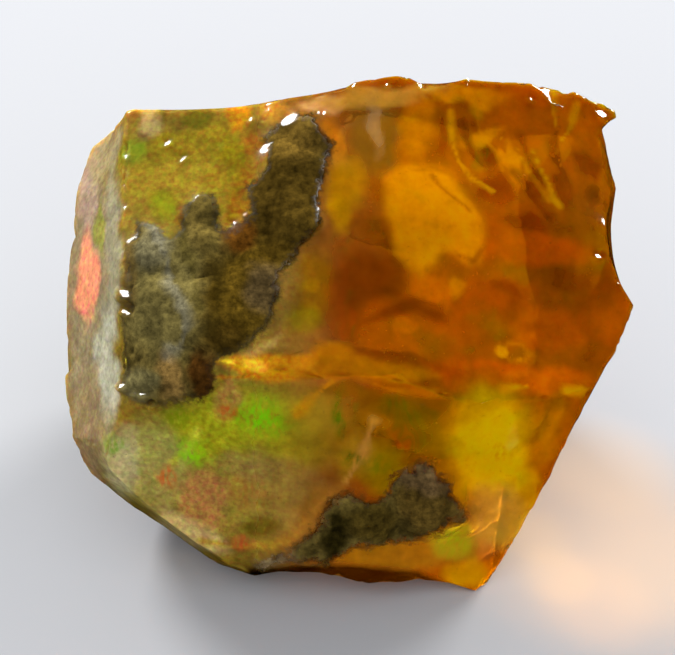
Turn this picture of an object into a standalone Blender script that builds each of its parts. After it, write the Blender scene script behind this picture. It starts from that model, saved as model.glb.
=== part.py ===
"""Rough opal: one broken, see-through stone with host rock grown onto it.

The stone stands on its own flat base. Metres, +Z up, +X to the right, and -Y towards
the side that shows the most host rock. The origin is on the ground, under the middle
of the stone. Sizes below are in millimetres and are turned to metres at the end.
"""

import math

import bmesh
import bpy
from mathutils import Matrix, Vector, noise
from mathutils.bvhtree import BVHTree

MM = 0.001

# The stone is surveyed as it looks from in front, looking down at this angle. A surveyed
# place or direction is (across to the right, up in the view, towards the eye).
SURVEY_TILT = math.radians(45.0)
SURVEY_TO_GROUND = Vector((-0.091, -0.450, 6.35))

# The block's edges are worn round by this much, and facets that meet at less than the
# tolerance are one facet.
WORN_EDGE = 0.2
FACET_TOLERANCE = math.radians(3.0)

# The mesh has faces of about this size all over. An edge at which they turn by more than
# the angle is a crisp edge and stays where it is.
FACE_SIZE = 0.505
LONGEST_SIDE = 20.4
OCTREE_DEPTH = 6
CRISP_EDGE = math.radians(28.0)
SMOOTHING_ROUNDS = 4
SHELL_SUBDIVISIONS = 5

# A scar's width runs along X, or front to back where the blow came this nearly along X.
SIDE_BLOW = 0.25

# Corners of the broken block that all other shapes are cut into.
CORNERS = {
    "top left": (-7.7, 7.95, 0.6),
    "top left shoulder": (-9.3, 6.95, -1.2),
    "top middle": (1.7, 9.15, 1.1),
    "top saddle": (4.4, 9.08, 1.1),
    "top right": (8.2, 8.85, 0.4),
    "top right tip": (9.8, 8.2, -0.4),
    "right waist": (9.7, 6.4, 0.6),
    "right corner": (10.25, 1.15, 1.4),
    "right corner, lower": (9.8, 0.3, 1.6),
    "ridge, right end": (8.7, -1.5, 2.6),
    "ridge, right": (4.4, -1.45, 4.4),
    "ridge, middle": (0.6, -1.35, 5.0),
    "ridge, left end": (-4.2, -0.7, 5.15),
    "front left edge": (-7.6, 1.6, 3.6),
    "front left edge, low": (-7.4, -4.6, 3.5),
    "brown face, left": (-6.0, -5.0, 3.9),
    "brown face, low": (-5.2, -7.0, 1.9),
    "foot, left": (-4.6, -8.1, -1.0),
    "foot, front": (-3.2, -8.5, 0.3),
    "foot, right": (4.0, -9.25, 0.4),
    "foot, right corner": (5.0, -8.95, -0.4),
    "right side, low": (6.2, -6.9, 0.6),
    "left side, foremost": (-10.3, -2.2, 0.2),
    "left side, upper": (-9.8, 1.6, 0.1),
    "left side, lower": (-9.3, -4.7, -0.2),
    "left side, under": (-7.6, -6.1, -1.4),
    "back, top left": (-6.9, 5.9, -4.3),
    "back, left": (-8.6, 2.2, -3.6),
    "back, top right": (7.6, 6.9, -3.1),
    "back, top middle": (0.8, 7.4, -3.4),
    "back, right": (8.4, 1.8, -3.4),
    "back, low right": (5.6, -2.6, -7.4),
    "back, low left": (-5.4, -2.2, -7.8),
    "back, bulge": (-0.6, 1.9, -7.0),
}

# Shell-shaped flake scars: a surveyed place near the scar, the direction that the blow
# came from, the scar's half width across, its half height and its depth.
FLAKE_SCARS = {
    "right waist": ((9.9, 3.8, 0.6), (1.0, 0.0, 0.15), 2.7, 2.7, 0.80),
    "right waist, upper": ((9.8, 6.2, 0.3), (1.0, 0.0, 0.2), 1.6, 1.6, 0.66),
    "top right nick": ((8.9, 8.9, 0.2), (0.5, 1.0, 0.2), 0.75, 0.7, 0.25),
    "top saddle": ((3.2, 9.2, 1.0), (0.0, 1.0, 0.1), 0.95, 1.1, 0.36),
    "top left dip": ((-2.9, 8.5, 0.6), (-0.14, 1.0, 0.1), 4.2, 2.0, 0.27),
    "fan, inner": ((6.7, 7.4, 2.0), (0.1, 0.3, 1.0), 2.9, 2.9, 0.42),
    "fan, outer": ((10.0, 7.2, 0.8), (0.45, 0.2, 1.0), 3.6, 3.2, 0.55),
    "fan, top": ((7.9, 8.8, 1.0), (0.1, 0.8, 0.8), 1.1, 1.1, 0.22),
    "under the fan": ((8.4, 1.5, 2.6), (0.25, 0.05, 1.0), 4.6, 2.6, 0.30),
    "ridge chip": ((-2.0, -0.7, 5.0), (0.0, -0.35, 1.0), 2.2, 0.42, 0.11),
    "ridge chip, right": ((6.4, -1.65, 3.8), (0.25, -0.35, 1.0), 2.0, 0.40, 0.08),
    "brown face": ((-2.3, -4.6, 3.4), (-0.22, -0.5, 0.8), 5.8, 4.4, 0.36),
    "yellow face": ((4.5, -5.9, 2.2), (0.15, -0.5, 0.85), 4.5, 3.9, 0.66),
    "left face": ((-9.0, 0.2, 1.6), (-0.85, 0.0, 0.5), 6.4, 5.6, 0.42),
    "left face, top": ((-9.2, 6.6, 0.2), (-0.8, 0.4, 0.4), 1.7, 1.9, 0.28),
    "foot arch, left": ((-1.4, -8.8, 0.2), (0.0, -1.0, -0.2), 2.3, 2.4, 0.55),
    "foot arch, right": ((2.0, -9.0, 0.2), (0.0, -1.0, -0.2), 2.6, 2.6, 0.52),
    "back, right shell": ((9.0, 3.4, -3.6), (0.7, 0.1, -0.8), 3.6, 3.4, 0.70),
    "back, window": ((2.4, 4.6, -5.0), (0.1, 0.5, -0.9), 3.6, 3.0, 0.70),
    "back, high shell": ((-3.6, 7.0, -3.0), (-0.1, 0.8, -0.6), 3.8, 3.0, 0.60),
    "back, left shell": ((-7.9, 1.4, -5.0), (-0.7, 0.2, -0.7), 3.4, 3.6, 0.65),
    "back, low shell": ((2.6, -1.6, -7.6), (0.2, 0.2, -1.0), 4.2, 3.0, 0.55),
    "right flank": ((8.2, -2.4, -1.6), (0.9, -0.4, -0.3), 4.4, 4.6, 0.50),
    "left flank": ((-8.0, -3.8, -2.8), (-0.8, -0.3, -0.4), 3.2, 3.4, 0.45),
}

# Host rock: round lumps that run together into a patch, as (across, up, radius, rise).
UPPER_ROCK = (
    (-1.4, 7.1, 1.0, 0.18),
    (-1.9, 5.9, 1.15, 0.26),
    (-1.7, 4.3, 1.25, 0.30),
    (-3.1, 3.0, 1.1, 0.05),
    (-4.6, 4.4, 0.8, 0.14),
    (-3.0, 1.6, 1.2, 0.22),
    (-4.9, 2.9, 1.0, 0.10),
    (-6.5, 2.8, 1.0, 0.18),
    (-6.3, 1.0, 1.3, 0.24),
    (-4.6, 0.6, 1.5, 0.30),
    (-6.3, -1.0, 1.2, 0.20),
    (-5.0, -1.4, 1.0, 0.12),
)
LOWER_ROCK = (
    (3.0, -5.9, 1.5, 0.80),
    (4.0, -6.4, 0.7, 0.30),
    (1.0, -6.3, 1.1, 0.45),
    (-0.5, -6.8, 0.8, 0.0),
    (-1.6, -7.6, 0.7, 0.14),
    (-3.0, -7.9, 0.55, 0.12),
    (-4.2, -7.9, 0.5, 0.08),
)
BACK_ROCK = (
    (-4.6, 3.0, 1.9, 0.40),
    (-5.4, 0.4, 2.2, 0.45),
    (-2.9, 0.6, 1.6, 0.30),
    (-6.6, -1.8, 1.6, 0.30),
    (3.2, -0.4, 1.4, 0.35),
    (4.6, 1.0, 1.1, 0.25),
)
# A patch is a thin crust with its lumps on top. It thins out over its rim and where the
# surface turns away from the side that it grew on, and its outline wanders.
ROCK_CRUST = 0.10
ROCK_ROUGHNESS = 0.16
ROUGHNESS_LENGTH = 1.3
ROCK_RIM = 0.45
RIM_WANDER = 0.30
WANDER_LENGTH = 0.9
GRAZING = 0.25

# The clear stone's own gentle ripple.
STONE_RIPPLE = 0.05
RIPPLE_LENGTH = 2.6

OPAL_COLOUR = (0.60, 0.27, 0.02, 1.0)
OPAL_ROUGHNESS = 0.08
OPAL_IOR = 1.44
OPAL_CLARITY = 0.8


def survey_direction(direction):
    """A surveyed direction in the stone's standing frame."""
    across, up, near = direction
    back = up * math.sin(SURVEY_TILT) - near * math.cos(SURVEY_TILT)
    height = up * math.cos(SURVEY_TILT) + near * math.sin(SURVEY_TILT)
    return Vector((across, back, height))


def from_survey(place):
    """A surveyed place in the stone's standing frame."""
    return survey_direction(place) + SURVEY_TO_GROUND


def to_survey(place):
    """(across, up, near) of a place in the standing frame."""
    across, back, height = place - SURVEY_TO_GROUND
    up = back * math.sin(SURVEY_TILT) + height * math.cos(SURVEY_TILT)
    near = height * math.sin(SURVEY_TILT) - back * math.cos(SURVEY_TILT)
    return across, up, near


def add_object(name, bm):
    mesh = bpy.data.meshes.new(name)
    bm.to_mesh(mesh)
    bm.free()
    obj = bpy.data.objects.new(name, mesh)
    bpy.context.scene.collection.objects.link(obj)
    return obj


def broken_block():
    """The convex block between the surveyed corners, with its edges a little worn."""
    block = bmesh.new()
    for place in CORNERS.values():
        block.verts.new(from_survey(place))
    hull = bmesh.ops.convex_hull(block, input=block.verts)
    spare = [g for g in hull["geom_interior"] if isinstance(g, bmesh.types.BMVert)]
    bmesh.ops.delete(block, geom=spare, context="VERTS")
    bmesh.ops.dissolve_limit(
        block, angle_limit=FACET_TOLERANCE, verts=block.verts, edges=block.edges
    )
    bmesh.ops.bevel(
        block,
        geom=block.edges[:],
        offset=WORN_EDGE,
        segments=2,
        profile=0.5,
        affect="EDGES",
        clamp_overlap=True,
        material=-1,
    )
    bmesh.ops.triangulate(block, faces=block.faces)
    return block


def flake_scar_shell(surface, place, blow, half_width, half_height, depth):
    """A stretched ball that bites as deep and as wide as stated into the block."""
    outward = survey_direction(blow).normalized()
    start = from_survey(place) + outward * LONGEST_SIDE
    hit = surface.ray_cast(start, -outward)[0]
    radius = half_height**2 / (2 * depth)
    stretch = half_width / half_height
    upward = outward.cross(Vector((1, 0, 0)))
    if upward.length < SIDE_BLOW:
        upward = Vector((0, 0, 1))
    sideways = upward.cross(outward).normalized()
    turn = Matrix((sideways, outward.cross(sideways), outward)).transposed().to_4x4()
    ball = bmesh.new()
    bmesh.ops.create_icosphere(ball, subdivisions=SHELL_SUBDIVISIONS, radius=radius)
    bmesh.ops.scale(ball, vec=(stretch, 1, 1), verts=ball.verts)
    bmesh.ops.transform(ball, matrix=turn, verts=ball.verts)
    bmesh.ops.translate(ball, verts=ball.verts, vec=hit + outward * (radius - depth))
    return ball


def flake_scar_cutters(surface):
    """One hidden cutter for each flake scar, in a collection of their own."""
    cutters = bpy.data.collections.new("flake_scars")
    bpy.context.scene.collection.children.link(cutters)
    for name, sizes in FLAKE_SCARS.items():
        cutter = add_object(
            "scar_" + name.replace(", ", "_").replace(" ", "_"),
            flake_scar_shell(surface, *sizes),
        )
        cutter.hide_render = True
        cutter.display_type = "WIRE"
        bpy.context.scene.collection.objects.unlink(cutter)
        cutters.objects.link(cutter)
    return cutters


def cut_scars(obj, cutters):
    cut = obj.modifiers.new("flake scars", "BOOLEAN")
    cut.operation = "DIFFERENCE"
    cut.operand_type = "COLLECTION"
    cut.collection = cutters


def even_faces(obj):
    """Even faces that keep the crisp edges."""
    remesh = obj.modifiers.new("even faces", "REMESH")
    remesh.mode = "SHARP"
    remesh.octree_depth = OCTREE_DEPTH
    remesh.scale = LONGEST_SIDE / (FACE_SIZE * 2**OCTREE_DEPTH)
    remesh.sharpness = 1.0
    remesh.use_remove_disconnected = True


def evaluated_bmesh(obj):
    """The object's mesh with its modifiers, as a new bmesh."""
    graph = bpy.context.evaluated_depsgraph_get()
    bm = bmesh.new()
    bm.from_object(obj, graph)
    return bm


def mend_pinches(bm):
    """Opens the few places where the even faces touch themselves, and closes each hole."""
    pinched = [e for e in bm.edges if not e.is_manifold]
    while pinched:
        ends = list({v for e in pinched for v in e.verts})
        bmesh.ops.delete(bm, geom=ends, context="VERTS")
        rim = [e for e in bm.edges if e.is_boundary]
        bmesh.ops.holes_fill(bm, edges=rim, sides=0)
        pinched = [e for e in bm.edges if not e.is_manifold]
    bmesh.ops.recalc_face_normals(bm, faces=bm.faces)


def smooth_between_crisp_edges(bm):
    """Evens out the shells and faces, and leaves the crisp edges where they are."""
    bm.normal_update()
    crisp = {e for e in bm.edges if e.calc_face_angle(0.0) > CRISP_EDGE}
    soft = [v for v in bm.verts if not crisp.intersection(v.link_edges)]
    for _ in range(SMOOTHING_ROUNDS):
        bmesh.ops.smooth_vert(
            bm, verts=soft, factor=0.5, use_axis_x=True, use_axis_y=True, use_axis_z=True
        )


def lump_rise(place, normal, lumps, facing_sign):
    """How far the host rock stands proud of the clear stone at a place."""
    facing = facing_sign * normal.dot(survey_direction((0, 0, 1)))
    if facing <= 0:
        return 0.0
    across, up, _ = to_survey(place)
    wander = RIM_WANDER * noise.noise(place / WANDER_LENGTH)
    inside = -1.0
    dome = 0.0
    for lump_across, lump_up, radius, rise in lumps:
        distance = math.hypot(across - lump_across, up - lump_up)
        inside = max(inside, radius - distance + wander)
        dome = max(dome, rise * (1 - (distance / radius) ** 2))
    cover = max(0.0, min(1.0, inside / ROCK_RIM)) * min(1.0, facing / GRAZING)
    rough = noise.fractal(place / ROUGHNESS_LENGTH, 1.0, 2.0, 2)
    return cover * (ROCK_CRUST + dome + ROCK_ROUGHNESS * rough)


def roughen(bm):
    """Raises the lumpy host rock, and gives the clear stone its gentle ripple."""
    bm.normal_update()
    moves = []
    for vert in bm.verts:
        rise = STONE_RIPPLE * noise.noise(vert.co / RIPPLE_LENGTH)
        rise += lump_rise(vert.co, vert.normal, UPPER_ROCK, 1)
        rise += lump_rise(vert.co, vert.normal, LOWER_ROCK, 1)
        rise += lump_rise(vert.co, vert.normal, BACK_ROCK, -1)
        moves.append(vert.normal * rise)
    for vert, move in zip(bm.verts, moves):
        vert.co += move


def cut_base(bm):
    """Cuts the stone flat where it stands, and closes the cut with one flat face."""
    whole = bm.verts[:] + bm.edges[:] + bm.faces[:]
    cut = bmesh.ops.bisect_plane(
        bm, geom=whole, plane_co=(0, 0, 0), plane_no=(0, 0, -1), clear_outer=True
    )
    rim = [g for g in cut["geom_cut"] if isinstance(g, bmesh.types.BMEdge)]
    for face in bmesh.ops.contextual_create(bm, geom=rim)["faces"]:
        face.normal_update()
        if face.normal.z > 0:
            face.normal_flip()


def opal_material():
    material = bpy.data.materials.new("opal")
    material.use_nodes = True
    shader = material.node_tree.nodes["Principled BSDF"]
    shader.inputs["Base Color"].default_value = OPAL_COLOUR
    shader.inputs["Roughness"].default_value = OPAL_ROUGHNESS
    shader.inputs["IOR"].default_value = OPAL_IOR
    shader.inputs["Transmission Weight"].default_value = OPAL_CLARITY
    return material


def make_opal():
    block = broken_block()
    surface = BVHTree.FromBMesh(block)
    rough_out = add_object("rough_out", block)
    cut_scars(rough_out, flake_scar_cutters(surface))
    even_faces(rough_out)
    bm = evaluated_bmesh(rough_out)
    bpy.data.objects.remove(rough_out, do_unlink=True)
    mend_pinches(bm)
    smooth_between_crisp_edges(bm)
    roughen(bm)
    cut_base(bm)
    bmesh.ops.triangulate(bm, faces=bm.faces)
    bmesh.ops.scale(bm, vec=(MM, MM, MM), verts=bm.verts)
    opal = add_object("opal", bm)
    opal.data.materials.append(opal_material())
    opal.data.shade_smooth()
    opal.data.set_sharp_from_angle(angle=CRISP_EDGE)
    return opal


def main():
    for obj in list(bpy.data.objects):
        bpy.data.objects.remove(obj, do_unlink=True)
    make_opal()


if __name__ == "__main__":
    main()
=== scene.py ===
import math

import bmesh
import bpy
import numpy as np
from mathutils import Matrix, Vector, noise


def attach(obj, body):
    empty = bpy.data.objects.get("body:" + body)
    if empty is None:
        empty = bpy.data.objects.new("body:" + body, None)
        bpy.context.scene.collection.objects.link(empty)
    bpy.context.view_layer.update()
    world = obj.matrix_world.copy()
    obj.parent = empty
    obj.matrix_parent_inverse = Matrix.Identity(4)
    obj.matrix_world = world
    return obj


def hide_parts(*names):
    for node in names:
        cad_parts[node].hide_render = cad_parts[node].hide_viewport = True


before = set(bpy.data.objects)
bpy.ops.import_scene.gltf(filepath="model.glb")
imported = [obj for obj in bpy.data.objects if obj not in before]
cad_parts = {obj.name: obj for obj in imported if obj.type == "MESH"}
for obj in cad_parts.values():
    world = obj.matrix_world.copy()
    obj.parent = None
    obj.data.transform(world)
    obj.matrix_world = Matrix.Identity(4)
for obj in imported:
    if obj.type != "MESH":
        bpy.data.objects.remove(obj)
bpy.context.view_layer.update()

mm = 0.001
scene = bpy.context.scene
noise.seed_set(4)  # without it the outlines sway differently in every run

# Surveyed places are in millimetres, as the stone looks from in front and 45 degrees above:
# across to the right, up in the view, and near, towards the eye.
survey = {"tilt": math.radians(45), "toFrame": Vector((-0.091, -0.450, 6.35))}


def surveyTurn(across, up, near):
    tilt = survey["tilt"]
    back = up * math.sin(tilt) - near * math.cos(tilt)
    height = up * math.cos(tilt) + near * math.sin(tilt)
    return Vector((across, back, height))


def fromSurvey(across, up, near):
    return (surveyTurn(across, up, near) + survey["toFrame"]) * mm


def toSurvey(places):
    tilt = survey["tilt"]
    x, y, z = (places / mm - np.array(survey["toFrame"])).T
    return x, y * math.sin(tilt) + z * math.cos(tilt)


def linearColour(hexCode):
    parts = [int(hexCode[i:i + 2], 16) / 255 for i in (1, 3, 5)]
    return [p / 12.92 if p <= 0.04045 else ((p + 0.055) / 1.055) ** 2.4 for p in parts]


def ease(value, low=0.0, high=1.0):
    t = np.clip((value - low) / (high - low), 0, 1)
    return t * t * (3 - 2 * t)


def addNode(tree, kind, settings=None, values=None, links=None):
    node = tree.nodes.new(kind)
    for name, value in (settings or {}).items():
        setattr(node, name, value)
    for socket, value in (values or {}).items():
        node.inputs[socket].default_value = value
    for socket, source in (links or {}).items():
        tree.links.new(source, node.inputs[socket])
    return node


# Fine surface: how the solid's faces are divided, then each layer of relief and each sway of the
# outlines as (height, length) in mm. "Facing" is 1 where a face is turned to the survey's eye.
surface = {
    "weld": 1e-7,
    "joined": (math.radians(25), math.radians(60)),  # triangles this flat and square become one face
    "levels": 2,
    "creaseAngle": math.radians(27),
    "crease": 0.42,
    "base": 1e-6,
    "seen": 0.1,  # the least facing at which the photograph shows a face
    "front": (-0.30, 0.12),  # the facing over which the back's colours give way to the front's
    "swell": (0.030, 1.60),
    "ripple": (0.008, 0.42),
    "edgeChip": (0.12, 0.50),
    "edgeFold": (math.radians(8), math.radians(22)),  # how sharp an edge chips a little, and fully
    "edgeNoise": (0.05, 0.5),
    "chipHeight": (-0.20, 0.17),  # the lowest and highest that a wet chip's face may lie
    "chipFade": 0.45,
    "chipSlope": 0.2,
    "glintWays": ((-0.39, -0.03, 0.92), (0.48, -0.04, 0.88)),
    "rockLump": (0.115, 0.80),
    "lumpForm": (0.9, 2.1, 3),  # the fractal's exponent, the step between its layers, their number
    "rockGrain": (0.045, 0.20),
    "rockRise": 0.05,
    "paintedHollowShade": (0.85, 0.55, 0.35),  # painted shade: how light the rock is, and how far its lumps and its grain change that, darker in its pits
    "paintedShadeRange": (0.35, 1.6),
    "ribs": (6.3, 6.6, 3.0, 2.7, 0),
    "ribFacing": 0.3,
    "drift": (0.30, 2.2),
    "backSway": (5.0, 2.8),
    "wander": (0.22, 0.70),
    "fineWander": (0.11, 0.24),
    "colourEdge": 0.55,  # how deep within a blob its colour is full, as a share of the way in
    "fireEdge": 0.8,
    "ribEdge": 0.5,
    "lineThickness": (0.75, 0.45),  # its mean and how far it swells, in half widths of the line
    "lineWaves": (2.6, 3.1),
    "lineFade": (0.2, 2.2),
    "raisedLine": 1.3,
    "leastMilk": 0.10,
    "milk": (-3.9, 0.2),  # across the stone, from fully milky to clear
}

# Host rock grown onto the opal: the outline of each patch, as (across, up)
hostRock = {
    "front": {
        "upper": (
            (-2.8, 7.0), (-2.3, 7.5), (-1.1, 7.75), (-0.4, 6.6), (-0.7, 5.5), (-0.85, 3.5), (-1.5, 3.0),
            (-2.1, 2.0), (-2.1, 1.2), (-2.3, 0.4), (-3.5, -0.5), (-4.2, -0.9), (-4.4, -1.6), (-4.8, -2.2),
            (-6.5, -2.3), (-7.6, -2.1), (-7.6, 1.3), (-7.5, 3.1), (-7.1, 3.9), (-6.5, 3.9), (-6.0, 3.4),
            (-5.6, 3.8), (-5.4, 4.6), (-5.0, 4.9), (-4.5, 4.9), (-4.3, 4.2), (-4.0, 3.5), (-3.3, 4.2),
            (-3.4, 5.2), (-2.6, 6.0),
        ),
        "lower": (
            (1.55, -5.0), (2.0, -4.5), (2.6, -4.25), (3.1, -4.35), (3.4, -4.8), (3.85, -5.5), (4.35, -6.3),
            (4.3, -6.6), (3.7, -6.6), (3.2, -7.1), (1.4, -7.3), (0.2, -7.5), (-0.5, -8.0), (-1.5, -7.8),
            (-2.9, -8.2), (-3.4, -7.9), (-1.9, -7.5), (-1.2, -6.8), (-0.5, -5.7), (0.1, -5.4), (1.1, -5.7),
        ),
    },
    "back": {
        "behind": (
            (-6.4, 2.6), (-5.6, 4.4), (-3.9, 4.8), (-2.9, 3.6), (-2.2, 1.8), (-1.5, 0.4), (-3.2, -0.9),
            (-5.0, -1.4), (-5.6, -3.2), (-7.2, -3.4), (-8.1, -1.8), (-7.4, 0.6),
        ),
    },
    "rim": (-0.25, 0.50),  # mm within the outline, from bare opal to full rock
    "thinning": (0.02, 0.2),  # facing to or from the eye, from bare opal to full rock
}
# Small wet chips whose faces are turned to a window (surface["glintWays"]), as (across, up, radius)
wetChips = (
    (-2.7, 7.92, 0.24), (-3.25, 7.58, 0.26), (-2.82, 7.56, 0.18), (-2.0, 7.5, 0.36), (-0.7, 7.8, 0.20),
    (-1.2, 7.8, 0.16), (-2.7, 6.65, 0.22), (-6.17, 6.76, 0.28), (-5.66, 6.2, 0.26), (-3.9, 6.88, 0.16),
    (-4.2, 6.65, 0.20), (-3.43, 4.18, 0.18), (-3.83, 3.94, 0.18), (-7.55, 1.45, 0.40),
    (-7.4, 0.85, 0.32), (-5.26, -0.53, 0.24), (-4.77, -0.65, 0.20), (-3.18, 0.6, 0.18),
    (-3.7, 0.93, 0.16), (-6.75, -1.95, 0.36), (-6.6, -2.3, 0.26), (-6.05, -1.9, 0.28),
    (-7.15, -1.9, 0.22), (-7.6, -1.7, 0.26), (-5.5, -2.0, 0.18), (-0.14, 8.29, 0.18),
    (0.07, 8.04, 0.18), (1.5, 8.8, 0.22), (2.9, 8.35, 0.24), (4.0, 8.45, 0.16), (6.6, 8.35, 0.26),
    (7.2, 8.45, 0.20), (9.15, 7.9, 0.34), (8.85, 2.8, 0.26),
)
# Colour of the rock, laid on as the opal's colour is: drab tuff, browner where opal glazes it
rockColours = {
    "brown lobe": (-2.0, 4.6, 2.4, 3.6, 0, "#3E2E0A", 0.9),
    "top of the lobe": (-1.6, 6.8, 1.2, 1.0, 0, "#6A521E", 0.8),
    "brown middle": (-3.4, 1.4, 1.9, 2.6, -20, "#463408", 0.9),
    "grey middle": (-2.7, 1.6, 0.9, 1.2, 0, "#5A4A30", 0.6),
    "red brown neck": (-3.6, 3.4, 0.8, 0.8, 0, "#4C2C08", 0.9),
    "green grey left": (-6.2, 1.4, 1.8, 3.2, 0, "#60562E", 0.9),
    "shoulder": (-6.5, 3.0, 0.8, 1.1, -15, "#625C42", 0.8),
    "left rim": (-7.4, 2.2, 0.5, 1.8, 0, "#5C4A24", 0.7),
    "dark left foot": (-7.0, -1.6, 0.9, 0.8, 0, "#6E6640", 0.8),
    "tan foot": (-5.9, -1.3, 0.6, 1.0, 15, "#8A6C38", 0.9),
    "dark right foot": (-4.75, -1.4, 0.7, 1.3, 0, "#44280A", 0.95),
    # painted shade in a hollow
    "painted shade in the hollow": (-4.1, -0.1, 0.8, 0.8, 0, "#3C2C0A", 0.8),
    "lower knob": (3.0, -5.8, 1.7, 1.6, 0, "#4E3C16", 0.9),
    # painted light on the knob's lit top
    "lower knob, painted light on top": (2.7, -4.9, 1.3, 0.7, -15, "#5C482C", 0.85),
    "lower crest": (0.9, -6.4, 1.2, 1.0, 0, "#443610", 0.85),
    # painted shade in the lower valley
    "painted shade in the lower valley": (-0.3, -6.9, 0.6, 1.3, -12, "#221C06", 0.95),
    "lower left": (-2.4, -7.9, 1.2, 0.6, 0, "#76684A", 0.8),
}
# Crests and valleys in the rock, the crest grey and lightened as painted highlight, the valleys darkened as
# painted shade: (points, half width, colour, how strong)
rockLines = {
    "painted highlight on the grey ridge": (
        ((-6.6, 3.7), (-6.15, 2.6), (-5.75, 1.5), (-5.34, 0.6), (-5.5, -0.1), (-6.0, -0.7)),
        0.17, "#686452", 0.7),
    "painted shade beside the ridge": (((-5.5, 3.4), (-5.2, 2.2), (-4.9, 1.0)), 0.16, "#3E3612", 0.6),
    "painted shade under the neck": (((-4.4, 2.2), (-4.2, 1.2), (-4.5, 0.2)), 0.20, "#2E2408", 0.6),
}

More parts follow.
